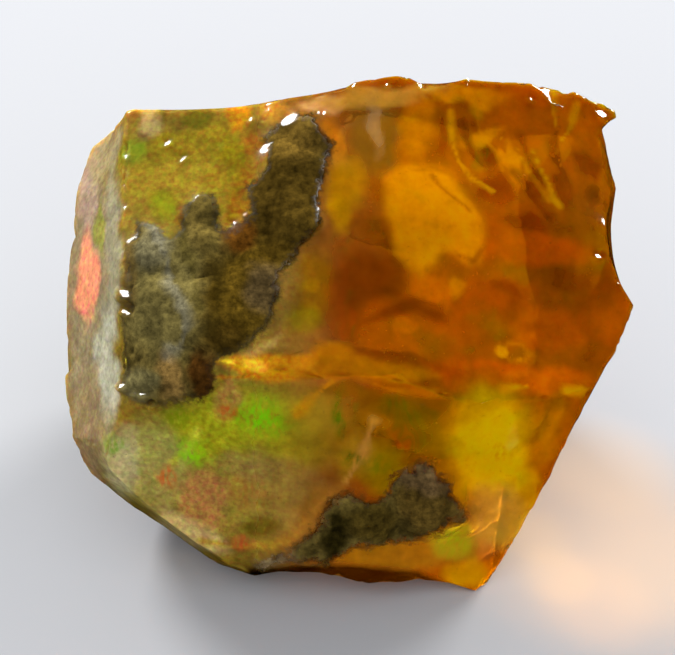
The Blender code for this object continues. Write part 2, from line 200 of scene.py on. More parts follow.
# Colour in the opal, laid on in this order: (across, up, half width, half height, turn in
# degrees, colour, how strong). Rock and milkiness are laid over it in the material.
frontColours = {
    "olive top left": (-5.1, 6.2, 3.0, 2.4, 0, "#86700E", 0.9),
    "yellow haze": (-6.0, 5.2, 1.9, 1.3, 15, "#90781A", 0.9),
    "green haze": (-6.2, 4.4, 0.9, 0.5, -30, "#767208", 0.8),
    "dark band by the top edge": (-5.8, 7.75, 1.8, 0.75, 3, "#6E5A18", 0.9),
    "green by the top edge": (-5.2, 7.6, 0.7, 0.5, 0, "#5E5006", 0.8),
    "mauve spot": (-7.05, 7.1, 0.35, 0.45, 0, "#7A5630", 0.8),
    "pale spot": (-6.8, 7.4, 0.6, 0.6, 0, "#A08E56", 0.8),
    "olive before the lobe": (-3.9, 6.2, 0.8, 0.9, 0, "#7E6C04", 0.9),
    "amber haze": (-4.5, 5.5, 0.6, 0.5, 0, "#8C6C12", 0.8),
    "brown above the shoulder": (-5.3, 4.1, 0.6, 0.6, 0, "#8A5206", 0.8),
    "green corner": (-7.3, 6.4, 0.5, 0.7, 0, "#6E7D14", 0.7),
    "orange by the top edge": (-3.75, 7.7, 0.6, 0.8, 5, "#B07808", 0.95),
    "brown above the rock": (-3.0, 6.6, 0.7, 0.9, 0, "#8A560A", 0.8),
    "amber above the lobe": (-2.3, 7.9, 0.9, 0.5, 0, "#B88420", 0.8),
    "pale amber by the top edge": (-0.6, 8.2, 0.9, 0.5, 5, "#ECC468", 0.85),
    "amber between the rock": (-3.5, 4.8, 0.6, 1.4, -15, "#8C5E06", 0.85),
    "dark olive": (1.0, 6.9, 1.2, 1.9, 0, "#6E5A08", 0.95),
    "pale wisp": (1.0, 7.5, 0.35, 1.5, 8, "#AC9A50", 0.8),
    "amber beside the rock": (-0.3, 6.7, 0.35, 1.4, 8, "#D08806", 0.9),
    "yellow beside the rock": (0.1, 5.2, 0.9, 1.6, 0, "#BC8E00", 0.95),
    "bright yellow": (-0.1, 4.1, 0.6, 0.9, 10, "#D4A800", 0.9),
    "top edge, amber": (1.2, 8.4, 2.8, 0.45, 4, "#DCC030", 0.85),
    "top edge, orange": (4.4, 8.35, 1.9, 0.4, 0, "#E4B400", 0.85),
    "amber band": (2.6, 7.3, 0.95, 1.5, 0, "#CC8600", 0.95),
    # painted shade: the dark middle of the clear side, where the shaded floor under the stone shows by
    # inner reflection
    "painted inner shade": (0.6, 1.4, 2.3, 2.3, 12, "#602A00", 0.88),
    "core of the painted shade": (0.8, 1.9, 1.3, 1.6, 12, "#4C2000", 0.8),
    "brown middle": (2.4, 0.2, 3.0, 1.7, 0, "#A04E00", 0.85),
    "fan ground": (6.6, 6.6, 3.2, 2.6, 0, "#B86200", 0.9),
    "fan, dark left": (4.95, 6.2, 0.5, 0.85, 15, "#662200", 0.95),
    "fan, dark low": (5.4, 4.9, 0.9, 0.7, -35, "#7C3000", 0.95),
    "fan, dark high": (4.6, 7.4, 0.25, 0.5, 10, "#8E4400", 0.7),
    "fan, dark middle": (5.45, 5.2, 0.35, 0.4, 0, "#782E00", 0.8),
    "fan, dark stroke": (3.6, 6.8, 0.16, 0.8, 8, "#843A00", 0.85),
    "fan, dark between ribs": (6.5, 4.9, 0.3, 0.5, 15, "#843600", 0.7),
    "fan, olive spot": (4.7, 7.9, 0.35, 0.3, 0, "#A88A00", 0.8),
    "fan, dark right": (7.6, 5.0, 0.5, 0.8, 10, "#843A00", 0.7),
    "fan, dark far right": (8.6, 6.1, 0.6, 0.6, 0, "#823600", 0.9),
    "fan, brown far right": (8.7, 5.0, 0.5, 0.7, 0, "#703A00", 0.9),
    "fan, flame": (5.95, 6.0, 0.32, 1.05, 8, "#F29E00", 0.95),
    "fan, flame, left": (5.55, 6.1, 0.22, 0.6, 25, "#F09C00", 0.9),
    "fan, slanting band": (4.9, 7.05, 1.2, 0.3, 28, "#ECA000", 0.9),
    "fan, right": (8.7, 7.1, 0.9, 1.0, 0, "#CC6E00", 0.85),
    "red field": (6.0, 3.4, 1.6, 1.4, 0, "#B04C00", 0.9),
    "red brown belt": (6.3, 3.75, 1.2, 0.4, -4, "#843000", 0.85),
    "red belt": (7.0, 2.9, 2.4, 0.7, -4, "#D46000", 0.95),
    "dull belt, right": (8.1, 1.9, 1.3, 0.6, -5, "#904400", 0.85),
    "orange belt": (5.2, 1.2, 2.2, 1.2, -4, "#AE5000", 0.85),
    "orange under the blob": (3.0, 1.6, 0.9, 0.7, 0, "#D47400", 0.9),
    "orange field": (7.2, 0.2, 1.5, 0.9, 0, "#CC6400", 0.9),
    "right corner": (9.0, 0.7, 1.3, 1.4, 0, "#B45800", 0.8),
    "orange over the ridge": (5.0, -1.25, 3.0, 0.6, -3, "#D05A00", 0.95),
    "orange over the ridge, centre": (4.0, -1.65, 0.9, 0.35, 0, "#CC6400", 0.85),
    "orange over the ridge, right": (6.9, -1.6, 1.8, 0.7, -3, "#E87400", 0.95),
    "small orange": (2.1, 0.5, 0.5, 0.35, 0, "#D87000", 0.9),
    "amber right of the rock": (-1.1, 1.7, 0.9, 1.8, 0, "#805A00", 0.9),
    "yellow spot": (-1.3, 1.6, 0.4, 0.35, 0, "#9E7800", 0.8),
    "green tint": (-1.4, 0.5, 0.8, 0.6, 0, "#7C7400", 0.8),
    "orange on the ridge, left": (-0.4, -0.5, 1.0, 0.5, 0, "#DC9000", 0.9),
    "bead": (3.9, 1.8, 0.4, 0.35, 0, "#D89600", 0.8),
    "ring, left": (5.4, -0.4, 0.3, 0.3, 0, "#D08C00", 0.8),
    "ring, low": (5.95, -0.8, 0.4, 0.18, 0, "#B87400", 0.6),
    "ring, right": (6.5, -0.5, 0.22, 0.25, 0, "#B87C00", 0.7),
    "lower olive": (-2.5, -3.2, 5.0, 1.9, 0, "#A09E10", 0.9),
    "tan streak": (-3.9, -2.3, 0.5, 0.9, -15, "#B0863A", 0.85),
    "lower brown": (2.0, -3.5, 2.8, 2.0, 0, "#846400", 0.9),
    "lower red brown": (2.1, -3.3, 0.8, 0.7, 0, "#844600", 0.8),
    "olive by the rib": (1.3, -4.5, 1.0, 1.1, 0, "#98A000", 0.9),
    "gold by the rib": (0.3, -4.1, 0.8, 1.1, -25, "#B4B014", 0.85),
    "amber low right": (6.1, -5.2, 0.9, 1.4, 0, "#F0CC00", 0.9),
    "lower left haze": (-6.5, -4.5, 1.7, 2.2, 0, "#A89E50", 0.8),
    "lower left rim": (-5.4, -6.9, 1.9, 0.8, -28, "#CCB474", 0.8),
    "speckled face": (-3.0, -5.6, 3.3, 2.1, -8, "#98842E", 0.9),
    "speckled face, top": (-3.4, -4.4, 1.6, 0.6, -8, "#8C7634", 0.8),
    "speckled face, red left": (-4.9, -5.7, 1.1, 1.5, 0, "#B07A40", 0.8),
    "speckled face, dark foot": (-2.9, -6.7, 0.9, 0.6, 0, "#6A5808", 0.85),
    "olive low": (-0.9, -5.9, 0.9, 1.2, -20, "#8A701A", 0.8),
    "dark under the ridge": (2.4, -2.3, 2.6, 0.6, -2, "#5C4A00", 0.9),
    "olive under the ridge": (0.0, -1.95, 1.5, 0.35, -3, "#6E5C00", 0.85),
    "yellow streak": (4.2, -3.2, 0.45, 1.7, 0, "#C09A00", 0.85),
    # painted glow: the yellow light that shines out of the clear side low down
    "glow, haze": (5.0, -3.9, 2.1, 3.2, 5, "#D8C800", 0.6),
    "glow, middle": (5.0, -3.9, 1.6, 2.5, 5, "#EEF000", 0.75),
    "glow": (5.1, -4.1, 1.35, 1.9, 5, "#FFFF00", 1.0),
    "glow, heart": (5.25, -4.1, 0.35, 0.4, 0, "#C8A800", 0.7),
    "glow, right": (5.75, -3.7, 0.35, 0.4, 0, "#FFFF20", 0.9),
    "brown right of the glow": (7.0, -3.4, 0.7, 1.8, -14, "#CC9400", 0.9),
    "right rim": (7.7, -2.8, 0.4, 1.6, -25, "#AA6400", 0.7),
    "tan below the glow": (5.4, -6.4, 1.2, 1.3, -20, "#C8C428", 0.85),
    "amber strip": (2.0, -7.6, 2.9, 0.9, 3, "#A08A08", 0.9),
    "green low right": (3.8, -7.2, 1.0, 0.8, 0, "#A8D018", 0.95),
    "green low right, small": (4.5, -7.9, 0.35, 0.5, 20, "#96A008", 0.8),
    "orange foot": (4.3, -8.4, 1.0, 0.7, 0, "#D8C400", 0.9),
    "left facet": (-9.0, 1.0, 1.35, 9.0, 0, "#8C7C5C", 0.95),
    "left facet, brown": (-9.0, -3.0, 0.8, 2.2, 0, "#86704C", 0.8),
    "left facet, top": (-8.5, 6.7, 0.8, 1.2, -15, "#988862", 0.8),
    "left facet, mauve": (-9.1, 4.8, 0.5, 1.7, 0, "#9A8270", 0.8),
    "left facet, green": (-8.6, 3.75, 0.25, 1.2, 0, "#80802E", 0.8),
    # the pale milky band along the facet's edge, lightened as a painted highlight
    "left facet, painted sheen": (-8.05, 1.8, 0.46, 6.4, -1, "#8C866C", 0.85),
    "left facet, lower painted sheen": (-8.1, -0.9, 0.55, 2.6, -1, "#AAA68C", 0.9),
    "left facet, salmon": (-9.1, 2.0, 0.43, 2.2, 0, "#E48A64", 0.95),
    "lower left": (-7.7, -4.5, 0.9, 1.7, 0, "#BAB07C", 0.85),
    # painted glints on the bubble ring
    "ring, painted glint, left": (5.45, -0.45, 0.26, 0.26, 0, "#FFD000", 1.0),
    "ring, painted glint, low": (6.15, -0.8, 0.2, 0.12, 0, "#D89C00", 0.9),
}
# Forms with a clear outline, laid over those: (outline, soft edge in mm, colour, how strong)
frontShapes = {
    # painted light: the bright patch where light from behind shines through the clear side
    "painted light through the stone": (
        ((1.44, 5.5), (1.9, 5.9), (2.55, 6.0), (3.5, 5.9), (3.9, 5.6), (4.2, 5.0), (4.55, 4.5), (4.85, 4.0),
         (4.9, 3.5), (4.7, 2.6), (4.3, 2.5), (3.9, 2.7), (3.4, 2.8), (3.1, 2.4), (2.6, 2.0), (2.1, 2.3),
         (1.7, 2.8), (1.76, 3.4), (1.5, 4.4)), 0.24, "#F0A800", 1.0),
    "dark brow": (
        ((0.9, 0.6), (1.7, 1.2), (2.4, 1.45), (3.2, 1.2), (3.5, 0.6), (3.0, 0.7), (2.4, 0.95), (1.6, 0.7)),
        0.20, "#4A1C00", 0.85),
    "ridge wedge": (
        ((-4.35, -0.9), (-3.1, -0.7), (-1.0, -0.65), (0.6, -0.6), (2.0, -0.9), (3.2, -1.45), (1.0, -1.4),
         (-1.5, -1.5), (-3.4, -1.45)), 0.16, "#D89400", 0.9),
    "pale streak on the ridge": (
        ((-3.6, -0.75), (-2.4, -0.1), (-2.2, 0.1), (-2.4, -0.35), (-3.2, -0.85)), 0.14, "#B89848", 0.8),
    "gold band by the ledge": (
        ((-0.1, -4.9), (-0.9, -5.5), (-1.7, -6.8), (-2.5, -7.3), (-1.7, -7.2), (-0.9, -6.4), (-0.3, -5.4)),
        0.30, "#A07C1A", 0.8),
    # painted shadow: the shaded underside and the contact shadow under the front foot
    "painted shadow along the foot": (
        ((-3.4, -8.15), (-1.5, -7.85), (-0.7, -7.95), (0.0, -7.98), (1.4, -8.1), (2.7, -8.25), (3.5, -8.7),
         (3.3, -9.6), (-3.4, -9.6)), 0.14, "#100600", 1.0),
    "tan right of the knob": (
        ((4.7, -5.4), (5.6, -5.4), (5.4, -7.2), (4.9, -7.6), (4.5, -6.8)), 0.35, "#D0C43C", 0.5),
}
# Thin raised lines where one flake scar meets the next, and painted glints along the ridge: (points, half
# width, colour, strength, rise)
frontLines = {
    "blob contour": (((3.3, 5.6), (3.6, 5.1), (3.9, 4.75), (4.4, 4.2)), 0.07, "#A05800", 0.7, 0.0),
    "blob edge": (
        ((2.3, 5.7), (3.4, 5.9), (4.1, 5.5), (4.8, 4.2), (5.0, 3.4), (4.5, 2.5)),
        0.07, "#A05A00", 0.5, 0.0),
    "blob chin": (((3.2, 2.1), (3.9, 2.7), (4.5, 2.6), (4.9, 3.1)), 0.06, "#8C4A00", 0.6, 0.0),
    "fan rib, left": (
        ((3.75, 7.7), (3.85, 6.8), (4.05, 6.1), (4.5, 5.4), (5.2, 4.85)), 0.08, "#E0B000", 0.7, 0.004),
    "fan rib, second": (((4.7, 8.3), (4.8, 7.2), (5.3, 6.4), (5.5, 5.6)), 0.06, "#D89400", 0.65, 0.004),
    "fan rib, third": (((5.6, 7.0), (6.2, 6.4), (6.5, 5.4), (7.1, 4.5)), 0.06, "#E0A000", 0.7, 0.004),
    "fan rib, middle": (((6.75, 6.3), (6.95, 5.5), (7.25, 4.6), (7.5, 4.4)), 0.08, "#DCB400", 0.75, 0.006),
    "fan rib, right": (((7.25, 8.5), (7.35, 7.9), (7.5, 7.4)), 0.08, "#DCB400", 0.75, 0.004),
    "fan rib, far right": (((8.15, 8.2), (8.0, 7.4), (7.75, 6.9)), 0.11, "#DCB400", 0.7, 0.004),
    "fan shade": (((4.2, 7.4), (4.35, 6.5), (4.75, 5.9)), 0.12, "#662800", 0.85, 0.0),
    "fan shade, right": (((5.9, 5.5), (6.5, 4.6), (7.2, 3.9)), 0.15, "#6A2800", 0.75, 0.0),
    "fan shade, middle": (((6.35, 6.9), (6.55, 6.0), (6.9, 5.0)), 0.15, "#702C00", 0.8, 0.0),
    "fan shade, far right": (((7.55, 7.2), (7.35, 6.3), (7.75, 5.4)), 0.13, "#702E00", 0.7, 0.0),
    "bubble ring": (
        ((5.5, -0.4), (5.7, -0.15), (6.2, -0.2), (6.45, -0.5), (6.2, -0.85), (5.75, -0.8), (5.5, -0.4)),
        0.05, "#D09000", 0.5, 0.0),
    "brow below the blob": (((1.6, 0.9), (2.4, 1.35), (3.3, 1.2)), 0.12, "#5A2600", 0.7, 0.0),
    "rib below the ridge": (((1.15, -2.9), (0.6, -4.0), (0.1, -5.0)), 0.13, "#DCC040", 0.9, 0.01),
    "rib by the glow": (((3.75, -2.2), (3.7, -3.6), (3.95, -5.0)), 0.08, "#C8A000", 0.5, 0.01),
    "rib across the green": (((-4.75, -3.1), (-5.2, -3.7), (-5.75, -4.4)), 0.11, "#BCB830", 0.85, 0.008),
    "slanting rib": (((-1.6, -2.5), (-1.1, -2.1), (-0.5, -1.6)), 0.14, "#CC9A00", 0.8, 0.008),
    "ledge": (
        ((-5.0, -7.25), (-3.7, -7.55), (-2.8, -7.4), (-1.8, -7.2), (-1.4, -6.7), (-0.8, -5.9),
         (-0.1, -5.2)), 0.12, "#B08C24", 0.85, 0.015),
    # painted glints along the ridge
    "ridge glint": (((-4.25, -0.93), (-3.85, -1.0)), 0.12, "#FFCC28", 1.0, 0.0),
    "ridge glint, right": (((-3.4, -1.02), (-2.8, -1.12)), 0.14, "#FFC424", 1.0, 0.0),
    "ridge glint, centre": (((5.5, -1.86), (6.2, -1.82)), 0.12, "#FFC400", 1.0, 0.0),
    "ridge glint, far right": (((7.6, -1.95), (8.15, -1.98)), 0.14, "#FFCC00", 1.0, 0.0),
    "ridge line": (((-4.2, -1.5), (0.2, -1.4), (1.2, -1.6), (3.6, -2.0)), 0.10, "#C07C00", 0.7, 0.0),
}
backColours = {
    "milky left": (-8.0, 1.0, 4.5, 8.0, 0, "#8A7A4C", 0.8),
    "olive": (-4.4, 4.6, 2.4, 2.6, 20, "#7C6C14", 0.8),
    "brown": (-1.4, 1.6, 2.2, 2.8, -20, "#7A4E08", 0.8),
    "amber": (3.6, 2.0, 6.0, 7.0, 0, "#A85E00", 0.8),
    # painted light: the bright patch where light shines through the stone
    "painted light through the back": (2.4, 4.6, 2.2, 1.8, 10, "#D88A00", 0.9),
    "dark cloud": (5.2, 0.8, 1.9, 1.3, -30, "#6A3000", 0.85),
    "orange": (6.8, 3.8, 1.6, 1.4, 0, "#CC7000", 0.8),
    "yellow low": (1.2, -1.6, 1.6, 1.0, 0, "#C09A00", 0.8),
}
# Clouds on the back, where the photograph gives no places: (how far into the noise and its length,
# both in mm, from what value, full at, colour, how strong)
backClouds = {
    "dark olive": (11.0, 1.9, 0.05, 0.40, "#564806", 0.75),
    "pale": (23.0, 1.3, 0.10, 0.45, "#A8965A", 0.6),
    "brown": (37.0, 2.6, 0.08, 0.42, "#7A4204", 0.7),
}
backFire = {
    "green": (51.0, 1.3, 0.24, 0.44, "#62AC00", 0.85),
    "orange": (67.0, 1.0, 0.30, 0.48, "#C4601C", 0.8),
    "dull green": (83.0, 0.8, 0.30, 0.50, "#6E8420", 0.7),
}
groundColours = {"left": "#80681E", "right": "#9A5600", "between": (-3.0, 1.5), "rock": "#5A4C22"}

# Play of colour in front: pure spectral patches that flicker in sheaves within their outlines
fireColours = {
    # painted glow: the yellow light low on the clear side, flickering with the play of colour
    "glow": (5.1, -4.1, 1.3, 1.8, 5, "#FFFF00", 0.9),
    "green, large": (-2.8, -2.75, 1.3, 1.0, 15, "#74CC00", 1.0),
    "green, left": (-5.2, -3.9, 0.7, 0.8, 30, "#8CD000", 0.9),
    "green, under the foot": (-5.5, -2.6, 0.8, 0.6, 0, "#6A8000", 0.8),
    "green, far left": (-7.9, -3.7, 0.7, 0.5, 0, "#6E9C10", 0.8),
    "green, middle": (-0.2, -2.7, 0.35, 1.0, 5, "#4C9A00", 0.9),
    "green, low": (0.2, -4.2, 0.7, 0.5, -20, "#5C8C00", 0.8),
    "green, low right": (3.8, -7.2, 1.0, 0.8, 0, "#A0DC10", 0.95),
    "green, beside the rib": (1.1, -4.4, 0.7, 0.6, 0, "#70A800", 0.6),
    "green haze": (-6.2, 4.4, 0.8, 0.4, -30, "#86960C", 0.5),
    "green by the top edge": (-5.2, 7.6, 0.6, 0.4, 0, "#56700A", 0.25),
    "green corner": (-7.1, 6.45, 0.35, 0.4, 0, "#6A8A10", 0.6),
    "red, middle": (2.0, -3.6, 0.5, 0.35, 0, "#B03400", 0.9),
    "red, upper": (-3.9, -2.7, 0.5, 0.4, 0, "#C05014", 0.8),
    "red, left": (-6.0, -5.0, 0.4, 0.6, 0, "#D0501E", 0.8),
    "red, low": (-3.5, -7.3, 0.6, 0.4, 0, "#C0461E", 0.8),
    "red, speckled face": (-3.3, -5.3, 1.5, 1.1, -10, "#B85A28", 0.35),
    "salmon on the left facet": (-9.1, 2.2, 0.42, 1.9, 0, "#F09A74", 0.5),
}


def insideBlob(across, up, blob):
    centreAcross, centreUp, halfWidth, halfHeight, turn = blob[:5]
    c, s = math.cos(math.radians(turn)), math.sin(math.radians(turn))
    x, y = across - centreAcross, up - centreUp
    return 1 - np.hypot((x * c + y * s) / halfWidth, (y * c - x * s) / halfHeight)


def distanceToLine(across, up, points):
    nearest = np.full(len(across), 1e9)
    for (x0, y0), (x1, y1) in zip(points, points[1:]):
        dx, dy = x1 - x0, y1 - y0
        t = np.clip(((across - x0) * dx + (up - y0) * dy) / (dx * dx + dy * dy), 0, 1)
        nearest = np.minimum(nearest, np.hypot(across - x0 - t * dx, up - y0 - t * dy))
    return nearest


def nearLine(across, up, points, halfWidth):
    # 1 on the line, fading away beside it
    mean, swelling = surface["lineThickness"]
    waves = np.sin(surface["lineWaves"][0] * across + surface["lineWaves"][1] * up)
    thickness = halfWidth * (mean + swelling * waves)
    return 1 - ease(distanceToLine(across, up, points) / thickness, *surface["lineFade"])


def insideOutline(across, up, outline):
    # how far within the outline each place is, in mm; less than nothing outside it
    within = np.zeros(len(across), bool)
    for (x0, y0), (x1, y1) in zip(outline, outline[1:] + outline[:1]):
        if y0 != y1:
            within ^= ((y0 > up) != (y1 > up)) & (across < x0 + (up - y0) * (x1 - x0) / (y1 - y0))
    distance = distanceToLine(across, up, outline + outline[:1])
    return np.where(within, distance, -distance)


def laidOver(ground, hexCode, weight):
    return ground + (np.array(linearColour(hexCode)) - ground) * np.reshape(weight, (-1, 1))


def painted(across, up, ground, blobs):
    for blob in blobs.values():
        share = ease(insideBlob(across, up, blob), 0.0, surface["colourEdge"])
        ground = laidOver(ground, blob[5], blob[6] * share)
    return ground


def plain(across, hexCode):
    return np.tile(linearColour(hexCode), (len(across), 1))


def cloudAt(places, shift, length, low, high):
    return ease(noiseAt(places + shift * mm, length), low, high)


def opalColourAt(places, inside, drifted, front):
    ground = laidOver(plain(inside[0], groundColours["left"]), groundColours["right"],
                      ease(inside[0], *groundColours["between"]))
    behind = painted(*inside, ground, backColours)
    for shift, length, low, high, colour, strength in backClouds.values():
        behind = laidOver(behind, colour, strength * cloudAt(places, shift, length, low, high))
    ground = painted(*inside, ground, frontColours)
    for outline, edge, colour, strength in frontShapes.values():
        ground = laidOver(ground, colour, strength * ease(insideOutline(*drifted, outline), -edge, edge))
    for points, halfWidth, colour, strength, _ in frontLines.values():
        ground = laidOver(ground, colour, strength * nearLine(*drifted, points, halfWidth))
    return behind + (ground - behind) * front[:, None]


def fireAt(places, across, up, front):
    # the strongest patch's colour at each place, and how strong it is
    colour, strength = plain(across, "#000000"), np.zeros(len(across))
    patches = [(blob[5], blob[6] * front * ease(insideBlob(across, up, blob), 0.0, surface["fireEdge"]))
               for blob in fireColours.values()]
    patches += [(hexCode, share * (1 - front) * cloudAt(places, shift, length, low, high))
                for shift, length, low, high, hexCode, share in backFire.values()]
    for hexCode, amount in patches:
        colour[amount > strength] = linearColour(hexCode)
        strength = np.maximum(strength, amount)
    return colour, strength


def rockAt(across, up, facing):
    # the patches on either side, thinning out where a face is turned neither way
    inside = [np.max([insideOutline(across, up, outline) for outline in hostRock[side].values()], axis=0)
              for side in ("front", "back")]
    inside = np.where(facing > 0, *inside)
    return ease(inside, *hostRock["rim"]) * ease(np.abs(facing), *hostRock["thinning"])


def lineRise(across, up, facing):
    rise = np.zeros(len(across))
    for points, halfWidth, *_, height in frontLines.values():
        rise += height * nearLine(across, up, points, surface["raisedLine"] * halfWidth)
    return rise * (facing > surface["seen"])


def milkAt(across):
    # how turbid the opal is: milky on the left, clear on the right
    least = surface["leastMilk"]
    return least + (1 - least) * (1 - ease(across, *surface["milk"]))


def stoneMesh():
    bm = bmesh.new()
    bm.from_mesh(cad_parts["opal"].data)
    bmesh.ops.remove_doubles(bm, verts=bm.verts, dist=surface["weld"])
    flatness, squareness = surface["joined"]
    bmesh.ops.join_triangles(bm, faces=bm.faces, angle_face_threshold=flatness,
                             angle_shape_threshold=squareness)
    crease = bm.edges.layers.float.new("crease_edge")
    for edge in bm.edges:
        if edge.is_manifold and edge.calc_face_angle(0.0) > surface["creaseAngle"]:
            edge[crease] = surface["crease"]
    mesh = bpy.data.meshes.new("opalStoneRough")
    bm.to_mesh(mesh)
    bm.free()
    return mesh


def divided(mesh):
    rough = bpy.data.objects.new("opalStoneRough", mesh)
    scene.collection.objects.link(rough)
    divide = rough.modifiers.new("finer", "SUBSURF")
    divide.levels = divide.render_levels = surface["levels"]
    divide.boundary_smooth = "PRESERVE_CORNERS"
    graph = bpy.context.evaluated_depsgraph_get()
    fineMesh = bpy.data.meshes.new_from_object(rough.evaluated_get(graph))
    bpy.data.objects.remove(rough, do_unlink=True)
    return fineMesh


def inNoise(places, length):
    # the places as the noise functions take them: one length is 1 there
    return map(Vector, places / (length * mm))


def noiseAt(places, length):
    return np.array([noise.noise(p) for p in inNoise(places, length)])


def swayed(places, *sways):
    # where each place lies on the survey once the outlines are made to sway
    across, up = toSurvey(places)
    for sway in sways:
        reach, length = surface[sway]
        shifts = np.array([noise.noise_vector(p) for p in inNoise(places, length)])
        across = across + reach * shifts[:, 0]
        up = up + reach * shifts[:, 1]
    return across, up


def chipsAt(places, normals, across, up, facing):
    # how high each wet chip's flat face stands, in mm, and how much of it is at each vertex
    level, wet = np.zeros(len(across)), np.zeros(len(across))
    outOfReach = 10 * (facing < surface["seen"])
    for chipAcross, chipUp, radius in wetChips:
        apart = np.hypot(across - chipAcross, up - chipUp) + outOfReach
        centre = np.argmin(apart)
        way = max((np.array(g) for g in surface["glintWays"]), key=lambda g: g @ normals[centre])
        near = np.flatnonzero(apart < radius)
        slope = np.maximum(normals[near] @ way, surface["chipSlope"])
        plane = -((places[near] - places[centre]) @ way) / slope / mm
        amount = ease(1 - apart[near] / radius, 0.0, surface["chipFade"])
        level[near] = np.where(amount > wet[near], np.clip(plane, *surface["chipHeight"]), level[near])
        wet[near] = np.maximum(amount, wet[near])
    return level, wet


def rockColourAt(across, up):
    colour = painted(across, up, plain(across, groundColours["rock"]), rockColours)
    for points, halfWidth, hexCode, strength in rockLines.values():
        colour = laidOver(colour, hexCode, strength * nearLine(across, up, points, halfWidth))
    return colour


def bendAt(mesh):
    # the sharpest fold at each vertex, in radians
    bm = bmesh.new()
    bm.from_mesh(mesh)
    bends = [max((e.calc_face_angle(0.0) for e in v.link_edges), default=0.0) for v in bm.verts]
    bm.free()
    return np.array(bends)


def relief(mesh):
    # raises and sinks the fine surface, and notes on each vertex what the stone is there
    places = np.empty(len(mesh.vertices) * 3)
    mesh.vertices.foreach_get("co", places)
    places = places.reshape(-1, 3)
    normals = np.array([v.vector for v in mesh.vertex_normals])
    facing = normals @ np.array(surveyTurn(0, 0, 1))
    front = ease(facing, *surface["front"])
    # places on the survey for the rock, for the colours in the opal, and for lines and clear outlines
    across, up = swayed(places, "wander", "fineWander")
    inside = swayed(places, "drift", "wander")
    drifted = swayed(places, "drift")

    rock = rockAt(across, up, facing)
    height = np.zeros(len(places))
    for layer in ("swell", "ripple"):
        height += surface[layer][0] * noiseAt(places, surface[layer][1])
    height += lineRise(*drifted, facing) * (1 - rock)
    depth, length = surface["edgeChip"]
    sharp = ease(bendAt(mesh), *surface["edgeFold"])
    height -= depth * sharp * ease(noiseAt(places, length), *surface["edgeNoise"])
    lumpHeight, length = surface["rockLump"]
    lumps = np.array([noise.fractal(p, *surface["lumpForm"]) for p in inNoise(places, length)])
    grainHeight, length = surface["rockGrain"]
    grain = noiseAt(places, length)
    height += rock * (surface["rockRise"] + lumpHeight * lumps + grainHeight * grain)
    chip, wet = chipsAt(places, normals, *toSurvey(places), facing)
    height += (chip - height) * wet
    height[places[:, 2] < surface["base"]] = 0  # the flat base stays flat

    level, inLumps, inGrain = surface["paintedHollowShade"]  # painted shade: the rock is darker in its pits and lighter on its lumps
    pitShading = np.clip(level + inLumps * lumps + inGrain * grain, *surface["paintedShadeRange"])
    fireColour, fire = fireAt(places, *inside, front)
    colours = {
        "opalColour": opalColourAt(places, inside, drifted, front),
        "rockColour": rockColourAt(across, up) * pitShading[:, None],
        "fireColour": fireColour,
    }
    reach, length = surface["backSway"]
    ribs = ease(insideBlob(*inside, surface["ribs"]), 0.0, surface["ribEdge"])
    amounts = {
        "hostRock": rock,
        "milkiness": milkAt(across + reach * (1 - front) * noiseAt(places, length)),
        "fire": fire,
        "wet": wet,
        "dryness": 1 - front,
        "ribbing": ribs * ease(facing, 0.0, surface["ribFacing"]),
    }
    for name, values in colours.items():
        layer = mesh.attributes.new(name, "FLOAT_COLOR", "POINT")
        layer.data.foreach_set("color", np.column_stack((values, np.ones(len(values)))).ravel())
    for name, values in amounts.items():
        mesh.attributes.new(name, "FLOAT", "POINT").data.foreach_set("value", values)
    places += normals * (height * mm)[:, None]
    places[:, 2] = np.maximum(places[:, 2], 0)
    mesh.vertices.foreach_set("co", places.ravel())
    mesh.update()


# The finish. Opal: silica with water in its pores, broken by hand, wet in front and drier behind.
# Its body scatters, so what is behind is only a glow, and the water on it gives a sharp gloss over
# that. Tuff: a fired-looking grey-brown ash rock, matt between its grains. Lengths are in
# millimetres, a pair is a range, and a turn is in radians.
finish = {
    "refraction": 1.44,
    "clear": {"see through": 0.85, "roughness": 0.06},
    "milky": {"see through": 0.22, "roughness": 0.30},
    "scatter": 0.85, "scatter length": 1.7, "scatter reach": (1.0, 0.60, 0.15),
    "wet": {"coat": 0.8, "roughness": 0.04, "refraction": 1.33, "body gloss": 0.05},
    "drier back": {"coat": 0.35, "roughness": 0.30},
    "noise span": (0.3, 0.7),
    "cloud length": 0.55, "cloud": (0.74, 1.22),
    "mottle length": 0.17, "mottle hue": (0.468, 0.536), "mottle value": (0.78, 1.22),
    "streak length": 0.24, "streak turn": (0.8, 0.1, -0.5), "streak stretch": (1.0, 5.5, 1.0),
    "streak": (0.92, 1.08),
    "rings apart": 0.314,  # how far apart a wave texture of scale 1 has its rings
    "rib spacing": 0.62, "rib centre": (6.4, 2.6, 15.2), "rib sway": 3.0, "rib sway scale": 1.5,
    "rib": (0.80, 1.35), "rib width": (0.55, 0.95),
    "sheaf length": 0.16, "sheaf turn": (-0.6, 0.35, 0.2), "sheaf stretch": (1.0, 1.0, 3.5),
    "sheaf": (0.30, 0.62),
    "rock grain": 0.20, "grain contrast": 0.75, "grain span": (0.33, 0.67), "rock light": (0.45, 1.25),
    "rock fraying": 1.3, "rock edge": (0.45, 0.78), "rock tint edge": (0.14, 0.44),
    "rock roughness": 0.75, "rock bump": 0.6, "rock bump height": 0.05,
    "body colour": (0.97, 0.57, 0.02), "body density": 85,
    "clear lift": 0.78, "clear tint": (1.13, 0.87, 1.0),
}


